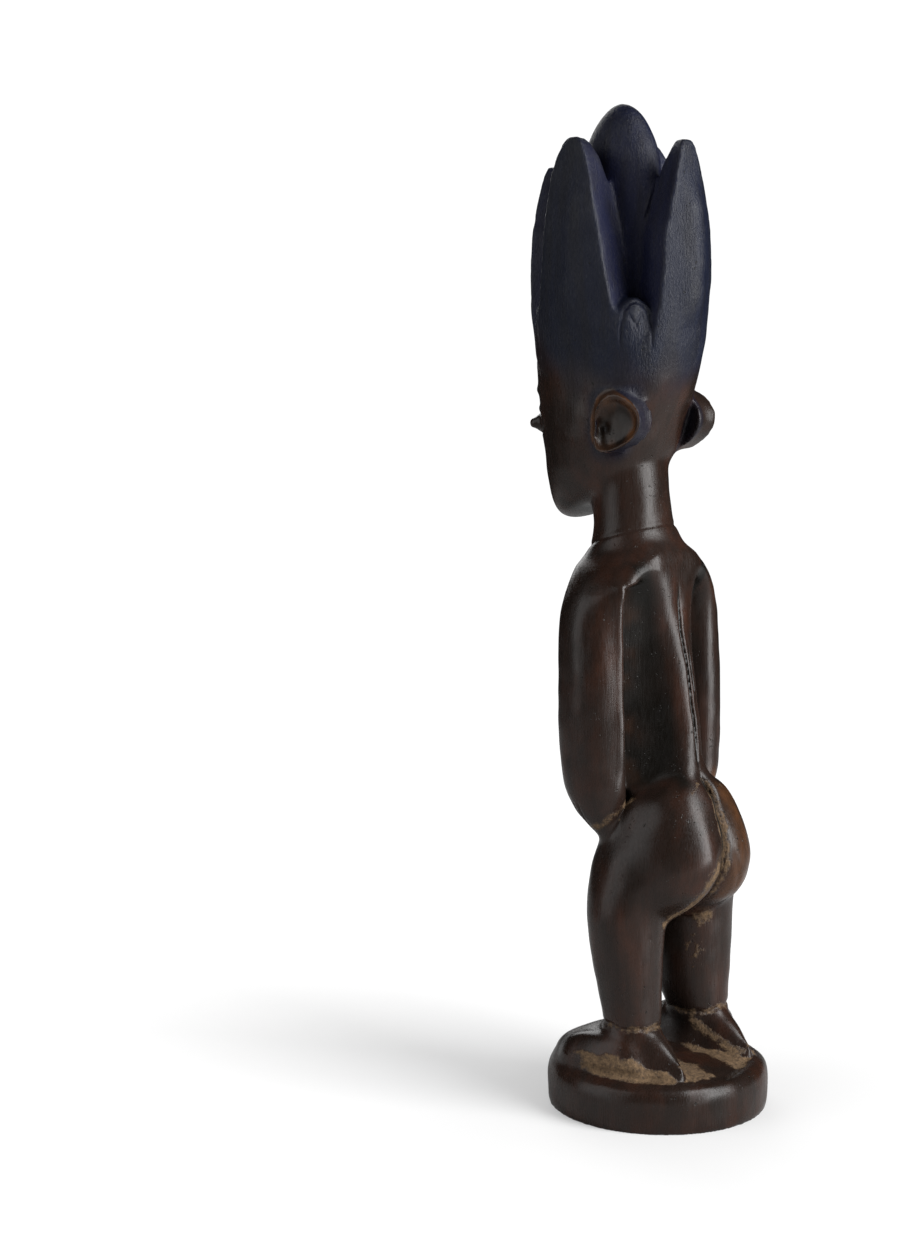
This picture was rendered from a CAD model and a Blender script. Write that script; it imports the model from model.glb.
# %% [markdown]
# A twin figure in dark wood.
# The real object is one block of wood: a standing figure, its round plinth and a tall headdress of hair,
# all cut with adze and knife, rubbed with indigo on the hair and handled until the high places shine.
# The solid that is loaded here has the right size and the main forms, but it is made of flat facets.
# It could be shown as it is, or sculpted by hand. This lesson takes a copy of it, turns the facets into a
# fine even skin, carves the small forms into that skin in code and then gives it its colours.

# %% Load the figure's solid
import math

import bmesh
import bpy
import numpy as np
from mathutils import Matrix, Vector
from mathutils.bvhtree import BVHTree


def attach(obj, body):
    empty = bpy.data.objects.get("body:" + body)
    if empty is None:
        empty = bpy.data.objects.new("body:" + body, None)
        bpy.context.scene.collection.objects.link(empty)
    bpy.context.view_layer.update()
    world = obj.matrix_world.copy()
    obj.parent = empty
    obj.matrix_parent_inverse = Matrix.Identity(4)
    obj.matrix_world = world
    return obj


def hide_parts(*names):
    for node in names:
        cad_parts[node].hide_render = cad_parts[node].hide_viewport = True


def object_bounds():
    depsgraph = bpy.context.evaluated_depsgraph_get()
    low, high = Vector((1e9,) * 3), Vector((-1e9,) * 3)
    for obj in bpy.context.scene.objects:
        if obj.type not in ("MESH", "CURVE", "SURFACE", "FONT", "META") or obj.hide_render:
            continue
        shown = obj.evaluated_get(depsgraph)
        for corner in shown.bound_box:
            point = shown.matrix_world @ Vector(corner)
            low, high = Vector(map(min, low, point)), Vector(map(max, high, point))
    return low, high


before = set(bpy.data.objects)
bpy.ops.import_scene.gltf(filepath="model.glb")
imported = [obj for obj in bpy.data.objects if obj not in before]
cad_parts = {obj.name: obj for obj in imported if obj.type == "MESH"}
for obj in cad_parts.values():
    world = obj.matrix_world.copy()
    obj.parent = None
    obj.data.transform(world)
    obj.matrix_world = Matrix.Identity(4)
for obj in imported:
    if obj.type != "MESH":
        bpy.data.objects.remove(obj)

MM = 0.001
FIGURE_NODE = "ibeji_figure"
cad_low, cad_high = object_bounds()
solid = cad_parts[FIGURE_NODE]
print("solid", [round(edge / MM, 1) for edge in cad_high - cad_low], "mm")
print("it has", len(solid.data.vertices), "loose corners")

# %% [markdown]
# The measure.
# A carver counts a figure in shares of its height. Places below are written as (left, forward, up) in parts,
# a hundred of which make the figure's height above the plinth, so that they stay right at any size.
# The figure faces -Y and its left side is on +X. Widths and depths of small cuts are in millimetres.

# %% Parts and millimetres
PLINTH_HEIGHT = 13 * MM
PLINTH_RADIUS = cad_high.x
PART = (cad_high.z - PLINTH_HEIGHT) / 100
print("one part is", round(PART / MM, 3), "mm, the plinth is", round(PLINTH_RADIUS * 2 / MM, 1), "mm across")

# %% [markdown]
# The camera.
# The figure was photographed on a white table. The camera stands behind the figure's left shoulder and
# looks slightly down. It is turned aside instead of shifted, which keeps the figure to the right of the
# frame. Its distance, height and tilt were found by hand from the ellipse of the plinth.

# %% Camera
PHOTO_HEIGHT = 1257
FOCAL_PIXELS = 2313
SENSOR = 36
CAMERA_BEARING = math.radians(50)
CAMERA_DISTANCE = 644 * MM
CAMERA_HEIGHT = 217 * MM
CAMERA_PITCH = math.radians(-7.2)
CAMERA_TURN = math.radians(5.035)

camera_data = bpy.data.cameras.new("camera")
camera_data.sensor_width = SENSOR
camera_data.lens = SENSOR * FOCAL_PIXELS / PHOTO_HEIGHT
camera = bpy.data.objects.new("camera", camera_data)
bpy.context.scene.collection.objects.link(camera)
camera.location = (
    CAMERA_DISTANCE * math.sin(CAMERA_BEARING),
    CAMERA_DISTANCE * math.cos(CAMERA_BEARING),
    CAMERA_HEIGHT,
)
heading = math.pi / 2 - CAMERA_BEARING + math.pi + CAMERA_TURN
camera.rotation_euler = (math.pi / 2 + CAMERA_PITCH, 0, heading - math.pi / 2)
bpy.context.scene.camera = camera
print("lens", round(camera_data.lens, 1), "mm, at", [round(c, 3) for c in camera.location])

# %% [markdown]
# The table.
# It is a plain plane, marked as stage because it isn't the object. In the photograph it is so bright that
# only the shadow near the figure shows. A stronger light would also brighten the figure from below, so the
# table glows for the camera alone, which Light Path tells apart, and fades out further off.

# %% Table top
TABLE_HALF = 1

table_shape = bmesh.new()
bmesh.ops.create_grid(table_shape, x_segments=1, y_segments=1, size=TABLE_HALF)
table_mesh = bpy.data.meshes.new("floor")
table_shape.to_mesh(table_mesh)
table_shape.free()
floor = bpy.data.objects.new("floor", table_mesh)
bpy.context.scene.collection.objects.link(floor)
print("table top", TABLE_HALF * 2, "m across")

# %% The table's white finish
WHITE = (1, 1, 1, 1)
TABLE_GREY = (0.5, 0.5, 0.5, 1)
TABLE_ROUGHNESS = 0.9
TABLE_SPECULAR = 0.1

table = bpy.data.materials.new("white_table")
table.use_nodes = True
table_tree = table.node_tree
table_shader = table_tree.nodes["Principled BSDF"]
table_shader.inputs["Base Color"].default_value = TABLE_GREY
table_shader.inputs["Roughness"].default_value = TABLE_ROUGHNESS
table_shader.inputs["Specular IOR Level"].default_value = TABLE_SPECULAR
table_shader.inputs["Emission Color"].default_value = WHITE
table_mesh.materials.append(table)
print(table.name, "is", TABLE_GREY[0], "grey")

# %% The table's glow and fade
GLOW_DISTANCES = (0.03, 0.2)
TABLE_GLOW = (0.35, 0.62)
FADE_DISTANCES = (0.35, 0.8)

from_middle = table_tree.nodes.new("ShaderNodeVectorMath")
from_middle.operation = "LENGTH"
table_place = table_tree.nodes.new("ShaderNodeTexCoord")
table_tree.links.new(table_place.outputs["Object"], from_middle.inputs[0])


def by_distance(distances, values):
    """A value of the table that goes from one to the other between two distances from the figure."""
    node = table_tree.nodes.new("ShaderNodeMapRange")
    for label, number in zip(("From Min", "From Max", "To Min", "To Max"), (*distances, *values)):
        node.inputs[label].default_value = number
    table_tree.links.new(from_middle.outputs["Value"], node.inputs["Value"])
    return node.outputs["Result"]


table_seen = table_tree.nodes.new("ShaderNodeLightPath")
table_glow = table_tree.nodes.new("ShaderNodeMath")
table_glow.operation = "MULTIPLY"
table_tree.links.new(table_seen.outputs["Is Camera Ray"], table_glow.inputs[0])
table_tree.links.new(by_distance(GLOW_DISTANCES, TABLE_GLOW), table_glow.inputs[1])
table_tree.links.new(table_glow.outputs["Value"], table_shader.inputs["Emission Strength"])
table_tree.links.new(by_distance(FADE_DISTANCES, (1, 0)), table_shader.inputs["Alpha"])
print("the table glows", TABLE_GLOW[0], "near the figure and", TABLE_GLOW[1], "further off")

# %% [markdown]
# The room and its lights.
# The room is a white sky with three strengths: what it sheds on the figure, what the gloss mirrors and what
# the camera sees. The gloss mirrors almost nothing of it, so that the bright bands on the wood come from
# the soft boxes alone, and these can be placed one by one to put each band where the photograph has it.

# %% White room
SKY_LIGHT = 0.26
SKY_MIRRORED = 0.02
SKY_SEEN = 1.05

world = bpy.data.worlds.new("white_room")
bpy.context.scene.world = world
world.use_nodes = True
sky = world.node_tree
room = sky.nodes["Background"]
room.inputs["Color"].default_value = WHITE
room.inputs["Strength"].default_value = SKY_LIGHT
backdrop = sky.nodes.new("ShaderNodeBackground")
backdrop.inputs["Color"].default_value = WHITE
backdrop.inputs["Strength"].default_value = SKY_SEEN
mirrored_room = sky.nodes.new("ShaderNodeBackground")
mirrored_room.inputs["Strength"].default_value = SKY_MIRRORED
seen = sky.nodes.new("ShaderNodeLightPath")
soft_or_mirrored = sky.nodes.new("ShaderNodeMixShader")
sky.links.new(seen.outputs["Is Glossy Ray"], soft_or_mirrored.inputs[0])
sky.links.new(room.outputs[0], soft_or_mirrored.inputs[1])
sky.links.new(mirrored_room.outputs[0], soft_or_mirrored.inputs[2])
choice = sky.nodes.new("ShaderNodeMixShader")
sky.links.new(seen.outputs["Is Camera Ray"], choice.inputs[0])
sky.links.new(soft_or_mirrored.outputs[0], choice.inputs[1])
sky.links.new(backdrop.outputs[0], choice.inputs[2])
sky.links.new(choice.outputs[0], sky.nodes["World Output"].inputs["Surface"])
bpy.context.scene.view_settings.view_transform = "Standard"
print("the room sheds", SKY_LIGHT, "and is seen at", SKY_SEEN)

# %% Soft boxes
AIM_HEIGHT = 140 * MM


def soft_box(name, bearing, distance, height, width, tall, watts):
    """A large flat light that looks at the figure's middle. Bearing is counted from behind the figure."""
    data = bpy.data.lights.new(name, "AREA")
    data.shape = "RECTANGLE"
    data.size = width
    data.size_y = tall
    data.energy = watts
    lamp = bpy.data.objects.new(name, data)
    angle = math.radians(bearing)
    lamp.location = (distance * math.sin(angle), distance * math.cos(angle), height)
    aim = Vector((0, 0, AIM_HEIGHT)) - lamp.location
    lamp.rotation_euler = aim.to_track_quat("-Z", "Y").to_euler()
    bpy.context.scene.collection.objects.link(lamp)
    return lamp


lamps = [
    soft_box("soft_box_back", bearing=-12, distance=1.0, height=0.5, width=0.65, tall=1.5, watts=29),
    soft_box("soft_box_side", bearing=114, distance=1.0, height=0.5, width=0.8, tall=1.1, watts=4.5),
    soft_box("soft_box_front", bearing=215, distance=1.2, height=0.7, width=0.8, tall=0.8, watts=5),
]
print(len(lamps), "soft boxes")

# %% [markdown]
# The fine skin.
# A solid of flat facets can't take small forms. It could be subdivided, but its triangles are long and
# uneven, and the cuts would follow them. A Remesh modifier in voxel mode rebuilds the surface from small
# even squares instead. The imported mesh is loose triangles, so a copy of it is merged first.

# %% Merge a copy and remesh it
VOXEL = 0.42 * MM
SAME_CORNER = 0.002 * MM


def merged_copy(source, name):
    """A copy of a mesh whose loose triangles are joined at their corners."""
    shape = bmesh.new()
    shape.from_mesh(source.data)
    bmesh.ops.remove_doubles(shape, verts=shape.verts, dist=SAME_CORNER)
    mesh = bpy.data.meshes.new(name)
    shape.to_mesh(mesh)
    shape.free()
    piece = bpy.data.objects.new(name, mesh)
    bpy.context.scene.collection.objects.link(piece)
    return piece


def settle(piece):
    """Applies a piece's modifiers to its mesh."""
    graph = bpy.context.evaluated_depsgraph_get()
    finished = bpy.data.meshes.new_from_object(piece.evaluated_get(graph))
    piece.modifiers.clear()
    rough = piece.data
    piece.data = finished
    bpy.data.meshes.remove(rough)


def even_squares(piece):
    """Rebuilds a piece's surface from small even squares."""
    remesh = piece.modifiers.new("even_squares", "REMESH")
    remesh.mode = "VOXEL"
    remesh.voxel_size = VOXEL
    settle(piece)


figure = merged_copy(solid, "carved_figure")
even_squares(figure)
print("fine skin:", len(figure.data.vertices), "points,", len(figure.data.polygons), "squares")

# %% Read and move a piece's points
LEFT, FORWARD, UP = 0, 1, 2


def points_of(piece):
    flat = np.empty(len(piece.data.vertices) * 3, np.float32)
    piece.data.vertices.foreach_get("co", flat)
    return flat.reshape(-1, 3).astype(float)


def set_points(piece, points):
    piece.data.vertices.foreach_set("co", points.astype(np.float32).ravel())
    piece.data.update()


def normals_of(piece):
    flat = np.empty(len(piece.data.vertices) * 3, np.float32)
    piece.data.vertex_normals.foreach_get("vector", flat)
    return flat.reshape(-1, 3).astype(float)


def spots_of(piece):
    """The piece's points counted in parts, as (left, forward, up)."""
    points = points_of(piece)
    return np.stack([points[:, 0], -points[:, 1], points[:, 2] - PLINTH_HEIGHT], 1) / PART


def facing_of(piece):
    """Which way the surface looks at each point, as (left, forward, up)."""
    return normals_of(piece) * (1, -1, 1)


def folded(spots):
    """The same spots with the right side laid over the left, so that one cut serves both."""
    return np.stack([np.abs(spots[:, LEFT]), spots[:, FORWARD], spots[:, UP]], 1)


def smooth_step(value, low, high):
    share = np.clip((value - low) / (high - low), 0, 1)
    return share * share * (3 - 2 * share)


def between(value, low, high, fade):
    """One between two levels and fading out over a margin on both sides."""
    return smooth_step(value, low - fade, low) * (1 - smooth_step(value, high, high + fade))


print("tallest point", round(float(spots_of(figure)[:, UP].max()), 2), "parts up")

# %% [markdown]
# The armpits.
# Behind each arm the wood is hollowed out, and the hollow ends in a nearly straight roof with a square
# corner at the arm. The solid has a slanted roof there. Points that lie behind the hollow's floor are moved
# forward onto it, and the stretched squares are rebuilt once more. The left hollow reaches further in
# behind its arm than the right one.

# %% Square the armpits' outer corners
ROOF_CORNER = (7.3, 50.9)
ROOF_SLOPE = 0.08
ROOF_FADE = 0.5
HOLLOW_STARTS = (3.6, 4.3)
HOLLOW_REACH = {"left": 6.7, "right": 4.9}
REACH_FADE = 0.5
HOLLOW_FOOT = (47.5, 49)
HOLLOW_FLOOR = ((3.0, -1.5), (5.5, 0.85), (7.2, -1.05))

side, ahead, level = folded(spots_of(figure)).T
roof = ROOF_CORNER[1] + (ROOF_CORNER[0] - side) * ROOF_SLOPE
hollow_end = np.where(points_of(figure)[:, 0] > 0, HOLLOW_REACH["left"], HOLLOW_REACH["right"])
opened = smooth_step(side, *HOLLOW_STARTS) * (1 - smooth_step(side - hollow_end, 0, REACH_FADE))
opened *= smooth_step(level, *HOLLOW_FOOT) * (1 - smooth_step(level, roof - ROOF_FADE, roof))
hollow_floor = np.interp(side, *zip(*HOLLOW_FLOOR))
moved = opened * np.clip(hollow_floor - ahead, 0, None)
points = points_of(figure)
points[:, 1] -= moved * PART
set_points(figure, points)
even_squares(figure)
print("cut back by up to", round(float(moved.max() * PART / MM), 1), "mm")

# %% [markdown]
# Fairing.
# The remeshed skin still shows the solid's facets. A Smooth modifier wipes them out but shrinks the form.
# So the shape is first pushed past itself by what the smoothing took away, and smoothed again: short waves,
# which are the facets, die away and long ones, which are the arms and lobes, stay. Real edges are found
# beforehand from how fast the skin turns, and take little part: where the neighbours' normals differ, their
# mean gets shorter than one.


# %% Find the real edges
def edges_of(piece):
    flat = np.empty(len(piece.data.edges) * 2, np.int32)
    piece.data.edges.foreach_get("vertices", flat)
    return flat.reshape(-1, 2)


def blurred(values, edges, rounds):
    """Values carried by the points, each mixed with its neighbours' mean for some rounds."""
    count = len(values)
    starts = np.concatenate([edges[:, 0], edges[:, 1]])
    ends = np.concatenate([edges[:, 1], edges[:, 0]])
    degree = np.maximum(np.bincount(starts, minlength=count), 1)
    columns = values.reshape(count, -1).T.copy()
    for _ in range(rounds):
        for column in columns:
            column[:] = 0.5 * column + 0.5 * np.bincount(starts, column[ends], count) / degree
    return columns.T.reshape(values.shape)


TURNING_ROUNDS = 16
EDGE_TO_CALM = (0.90, 0.96)
EDGE_SHARE = 0.08
evenness = np.linalg.norm(blurred(normals_of(figure), edges_of(figure), TURNING_ROUNDS), axis=1)
calm = EDGE_SHARE + (1 - EDGE_SHARE) * smooth_step(evenness, *EDGE_TO_CALM)
print("real edges on", round(float((calm < 0.5).mean() * 100), 1), "% of the skin")

# %% Fair the skin
WEIGHT_STEPS = 12


def relax(piece, rounds, weight=None):
    """Moves each point towards its neighbours for some rounds. Weight says how much each one takes part."""
    smooth = piece.modifiers.new("relax", "SMOOTH")
    smooth.factor = 0.5
    smooth.iterations = rounds
    if weight is not None:
        group = piece.vertex_groups.new(name="relax")
        steps = np.round(weight * WEIGHT_STEPS)
        for step in range(1, WEIGHT_STEPS + 1):
            group.add(np.flatnonzero(steps == step).tolist(), step / WEIGHT_STEPS, "REPLACE")
        smooth.vertex_group = group.name
    settle(piece)
    piece.vertex_groups.clear()


def fair(piece, rounds, weight=None):
    """Smooths without shrinking the large forms."""
    before = points_of(piece)
    relax(piece, rounds, weight)
    set_points(piece, 2 * before - points_of(piece))
    relax(piece, rounds, weight)


fair(figure, rounds=24)
fair(figure, rounds=320, weight=calm)
print("faired:", [round(edge / MM, 1) for edge in np.ptp(points_of(figure), axis=0)], "mm")

# %% [markdown]
# Chisel tools.
# Every small form is a push of the skin along its own normals: a groove along a path, a swell around a
# spot. The paths are a few points each, written in parts. Leaving one axis out of the distance projects the
# path onto the form from that side, as a pencil line on the wood would lie.


# %% Bells, eggs and lines
def bell(offset):
    """One where the offset is nought, fading to nothing on both sides of it."""
    return np.exp(-(offset ** 2))


def egg(spots, centre, radii):
    """One at a centre, fading to nothing around it. Radii say how far it reaches."""
    return np.exp(-(((spots - centre) / radii) ** 2).sum(1))


def distance_to(spots, path, axes):
    """How far each spot is from a path, in parts, and its share of the way along the path."""
    flat = spots[:, axes]
    line = np.array(path, float)[:, axes]
    lengths = np.linalg.norm(np.diff(line, axis=0), axis=1)
    gone = np.concatenate([[0], np.cumsum(lengths)])
    best = np.full(len(flat), np.inf)
    along = np.zeros(len(flat))
    for i, (start, end) in enumerate(zip(line[:-1], line[1:])):
        step = end - start
        share = np.clip((flat - start) @ step / (step @ step), 0, 1)
        away = np.linalg.norm(flat - start - share[:, None] * step, axis=1)
        nearer = away < best
        best[nearer] = away[nearer]
        along[nearer] = (gone[i] + share[nearer] * lengths[i]) / gone[-1]
    return best, along


def line_mask(spots, path, width, axes=(LEFT, FORWARD, UP), taper=0.12):
    """One on a path and fading to nothing over its width in millimetres, thinner towards both ends."""
    away, along = distance_to(spots, path, axes)
    fade = bell(away * PART / MM / (width / 2))
    if taper:
        fade = fade * np.clip(np.minimum(along, 1 - along) / taper, 0, 1)
    return fade


print("half its width from the middle, a line keeps", round(float(bell(1)), 2), "of its depth")


# %% Grooves and swells
def push(piece, height):
    """Moves the skin along its normals. Height is in millimetres, and below zero it cuts in."""
    set_points(piece, points_of(piece) + normals_of(piece) * (height * MM)[:, None])


def groove(piece, path, width, depth, axes=(LEFT, FORWARD, UP), where=None, taper=0.12, both=True):
    """Cuts a groove along a path, on both sides of the body. A depth below zero raises a ridge."""
    spots = spots_of(piece)
    allowed = 1.0 if where is None else where(spots, facing_of(piece))
    cut = line_mask(folded(spots) if both else spots, path, width, axes, taper)
    push(piece, -depth * cut * allowed)


def swell(piece, centre, radii, height, where=None):
    """Raises a soft egg around a spot on both sides, or presses one in where height is below zero."""
    spots = spots_of(piece)
    allowed = 1.0 if where is None else where(spots, facing_of(piece))
    push(piece, height * egg(folded(spots), centre, radii) * allowed)


print("chisels ready")

# %% [markdown]
# Soft and worn places.
# The buttock runs into the outside of the thigh without a step, the shoulders are round, the crest of the
# back is worn to a soft roll, the plinth's rim is rounded by handling, and the toes melt into the plinth.
# The solid is harder in all these places, so they are relaxed by plain smoothing, which may shrink them.
# Each place is a product of ranges in parts: from where to where it holds, and over what margin it fades.
# The outsides of the arms are faired instead, which rounds them without making them thinner.

# %% Relax the soft places
CREST_SHARE = 0.8
RIM_SHARE = 0.5

side, ahead, level = folded(spots_of(figure)).T
outer_thigh = smooth_step(side, 4.0, 6.5) * between(level, 15, 24, 3)
hip_front = smooth_step(ahead, 0, 3) * between(level, 14, 32, 2)
waist = smooth_step(-ahead, -1, 1) * between(level, 27.5, 31.5, 2) * (1 - smooth_step(side, 4.4, 5.4))
shoulder = between(level, 53.2, 55.4, 0.8) * smooth_step(side, 3.6, 5.0)
arm_top = between(level, 45, 53, 2) * smooth_step(side, 7.2, 8.2)
crest = between(level, 31, 52, 1.5) * (1 - smooth_step(side, 2.4, 3.2))
crest *= 1 - smooth_step(ahead, -1.2, -0.4)
toes = smooth_step(ahead, 5.5, 8.0) * between(level, 0.15, 3.6, 0.3)
from_axis = np.hypot(side, ahead) * PART
rim = smooth_step(from_axis, PLINTH_RADIUS - 3.2 * MM, PLINTH_RADIUS - 1.6 * MM)
rim *= between(level, -1.3, 0.7, 0.5)
soft_places = [outer_thigh, hip_front, waist, shoulder, arm_top, crest * CREST_SHARE, toes, rim * RIM_SHARE]
softened = np.max(soft_places, axis=0)
relax(figure, rounds=120, weight=softened)
relax(figure, rounds=200, weight=toes)
print("relaxed", int((softened > 0.5).sum()), "of", len(softened), "points")

# %% Round the outsides of the arms
arm_roll = between(level, 25, 54.5, 1.5) * smooth_step(side, 7.8, 8.8)
fair(figure, rounds=700, weight=arm_roll)
print("arms rounded on", int((arm_roll > 0.5).sum()), "points")

# %% [markdown]
# The back.
# The left arm's inner edge is a crisp little bevel that catches the light and turns in under the shoulder,
# and the back of that arm is cut flatter towards it. The crests on both sides of the spine are worn to a
# soft roll. The spine is a split groove that runs on as a seam between the buttocks. Lines that are cut here
# are coloured later, so their paths are kept.


# %% Cut the left arm's edge
def on_back(spots, facing):
    return smooth_step(-facing[:, FORWARD], 0.0, 0.35)


FROM_BEHIND = (LEFT, UP)
EDGE_HEIGHT = 0.75
ARM_EDGE = [(7.3, 0, 29.5), (7.35, 0, 33), (7.35, 0, 44), (7.35, 0, 48.5), (7.2, 0, 50.6), (6.3, 0, 51.2),
            (4.8, 0, 51.4)]
ARM_FLAT = [(9.1, 0, 29), (9.2, 0, 40), (9.1, 0, 50)]
ARM_FOOT = (6.3, -0.9, 28.9)
ARM_FOOT_RADIUS = 1.3

groove(figure, ARM_EDGE, width=2.6, depth=-EDGE_HEIGHT, axes=FROM_BEHIND, where=on_back, both=False)
groove(figure, ARM_FLAT, width=8.0, depth=0.85, axes=FROM_BEHIND, where=on_back, taper=0.15, both=False)
spots = folded(spots_of(figure))
side, ahead, level = spots.T
roof_edge = between(level, 50.0, 52.2, 0.5) * between(side, 3.6, 7.5, 0.3) * (ahead < 0.5)
relax(figure, rounds=16, weight=roof_edge)
relax(figure, rounds=80, weight=egg(spots, ARM_FOOT, ARM_FOOT_RADIUS))
print("left arm's edge raised by up to", EDGE_HEIGHT, "mm")

# %% Roll the crests
CREST_LEVELS = (31, 43, 50, 53)
CREST_SIDES = (1.2, 1.4, 2.4, 3.2)
CREST_WIDTH = 1.1

side, ahead, level = folded(spots_of(figure)).T
crest_edge = np.interp(level, CREST_LEVELS, CREST_SIDES)
crest_roll = bell((side - crest_edge) / CREST_WIDTH) * between(level, 32, 51.5, 1) * (ahead < 0)
relax(figure, rounds=260, weight=crest_roll)
print("crests rolled on", int((crest_roll > 0.5).sum()), "points")

# %% Cut the spine's split and the seam
SPINE_SPLIT = [(0.35, 0, 51.2), (0.15, 0, 48.5), (0.3, 0, 46), (0.05, 0, 42), (0.2, 0, 38.5), (0.0, 0, 34),
               (0.1, 0, 31)]
SPINE_HAIRLINE = [(-0.55, 0, 45.0), (-0.45, 0, 41.5), (-0.6, 0, 37.5)]
BUTTOCK_SEAM = [(0.1, 0, 31.5), (-0.15, 0, 29.5), (0.1, 0, 27), (-0.1, 0, 25), (0.1, 0, 22.5), (0, 0, 20),
                (0.05, 0, 17)]

groove(figure, SPINE_SPLIT, width=0.9, depth=0.75, axes=FROM_BEHIND, where=on_back, taper=0.2, both=False)
groove(figure, SPINE_HAIRLINE, width=0.6, depth=0.4, axes=FROM_BEHIND, where=on_back, taper=0.3, both=False)
groove(figure, BUTTOCK_SEAM, width=2.6, depth=0.7, axes=FROM_BEHIND, where=on_back, both=False)
groove(figure, BUTTOCK_SEAM, width=1.1, depth=0.9, axes=FROM_BEHIND, where=on_back, both=False)
print("spine and seam cut")

# %% [markdown]
# The neck's foot.
# A fine crease goes round the neck where it meets the shoulders, and leans down towards the front. It could
# be cut as a path, but a slanted level is simpler: the crease is wherever the skin crosses that level.

# %% Cut the crease
NECK_RADIUS = 6.5
NECK_FORWARD = 3.6
CREASE_LEVEL = 55.6
CREASE_LEAN = 0.34
SWELL_BELOW = 1.0


def neck_level(spots):
    """How far each spot is above the crease round the neck's foot, which leans down to the front."""
    return spots[:, UP] - CREASE_LEVEL + CREASE_LEAN * (spots[:, FORWARD] - NECK_FORWARD)


spots = spots_of(figure)
from_neck = np.hypot(spots[:, LEFT], spots[:, FORWARD] - NECK_FORWARD)
on_neck = 1 - smooth_step(from_neck, NECK_RADIUS - 1, NECK_RADIUS)
push(figure, 0.2 * (bell((neck_level(spots) + SWELL_BELOW) / 0.9) * on_neck))
relax(figure, rounds=60, weight=between(neck_level(spots), -2.6, 0.6, 1) * on_neck)
push(figure, -0.5 * (bell(neck_level(spots_of(figure)) / 0.2) * on_neck))
relax(figure, rounds=10, weight=bell(neck_level(spots_of(figure)) / 0.7) * on_neck)
print("crease cut on", int((on_neck * (np.abs(neck_level(spots)) < 0.2)).sum()), "points")

# %% [markdown]
# Feet and legs.
# The feet spread outwards over the plinth and the ankles are marked by a cut that wavers round each leg.
# The insides of the calves are full, a fold runs from the buttocks round the thigh, and two small marks of
# wear are a crescent on the left thigh and a crack in the left arm. Each leg stands LEG_SPREAD parts aside.

# %% Shape the feet
FOOT_RISE = 0.5

points = points_of(figure)
level = spots_of(figure)[:, UP]
points[:, 2] += FOOT_RISE * PART * smooth_step(level, 0.5, 3.5) * (1 - smooth_step(level, 5.5, 9))
set_points(figure, points)
side, ahead, level = folded(spots_of(figure)).T
outer_skirt = between(level, 1.2, 3.2, 1.4) * smooth_step(side, 7.4, 8.4) * between(ahead, -3.5, 3.5, 3)
push(figure, 2.2 * outer_skirt)
instep = between(level, 2.2, 4.9, 0.6) * between(side, 3, 10, 1) * between(ahead, -6, 4, 1.5)
relax(figure, rounds=50, weight=instep)
print("feet raised by", round(FOOT_RISE * PART / MM, 1), "mm")

# %% Cut the ankles and fill the calves
LEG_SPREAD = 5.55
ANKLE = 4.95
ANKLE_BACK = 1.2
ANKLE_RADII = (3.05, 3.1)
ANKLE_RING = []
for t in np.linspace(0, 2 * math.pi, 41):
    waver = 0.14 * math.sin(3 * t) + 0.1 * math.sin(7 * t + 1) + 0.25 * math.cos(t)
    left = LEG_SPREAD + ANKLE_RADII[0] * math.cos(t)
    ANKLE_RING.append((left, -ANKLE_BACK + ANKLE_RADII[1] * math.sin(t), ANKLE + waver))

groove(figure, ANKLE_RING, width=1.3, depth=0.6, taper=0)
swell(figure, centre=(LEG_SPREAD - 2.9, 2.2, 11.6), radii=(2.4, 2.6, 6.4), height=3.6)
swell(figure, centre=(LEG_SPREAD - 2.8, 1.4, 6.8), radii=(2.4, 2.6, 2.6), height=1.6)
print("ankles at", round((PLINTH_HEIGHT + ANKLE * PART) / MM, 1), "mm")

# %% Mark the hips, the thighs and the arm
THIGH_FOLD = [(0.9, -8.8, 24.0), (1.6, -9.0, 22.0), (2.4, -8.6, 20.4), (3.1, -6.4, 17.8), (4.1, -4.5, 16.0),
              (5.5, -4.5, 15.9)]
CRESCENT = [(6.6, -4.15, 14.9), (6.2, -4.4, 14.3), (5.4, -4.6, 14.0), (4.5, -4.1, 14.2)]
ARM_CRACK = [(9.6, -0.8, 36.5), (9.5, -0.85, 35), (9.5, -0.8, 33)]

swell(figure, centre=(6.4, -0.9, 28.6), radii=(1.3, 1.2, 1.4), height=1.0)
groove(figure, THIGH_FOLD, width=1.8, depth=0.3)
groove(figure, CRESCENT, width=0.7, depth=0.25, both=False)
groove(figure, ARM_CRACK, width=0.7, depth=0.35, both=False)
print("thighs and arm marked")

# %% [markdown]
# The ears.
# Each ear is an egg shape that leans back, with a thin rim, a bowl and a deep hole at its front. The solid
# has the egg with a flat-floored hollow. The bowl's skin is softened, the rim is faired to a true curve, the
# facets behind the ear are rubbed away, and the hole is pressed in last.

# %% The ear's egg shape
EAR = (6.7, 1.7, 67.05)
EAR_LEAN = 0.6
EAR_HALF = (2.9, 3.7)
EAR_WIDENS = 0.3
ear_left, ear_forward, ear_up = EAR


def ear_spot(across, along):
    """A spot on the ear: across is towards the back and along is towards the tip, before it leans."""
    back = across * math.cos(EAR_LEAN) + along * math.sin(EAR_LEAN)
    rise = -across * math.sin(EAR_LEAN) + along * math.cos(EAR_LEAN)
    return (ear_left, ear_forward - back, ear_up + rise)


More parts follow.
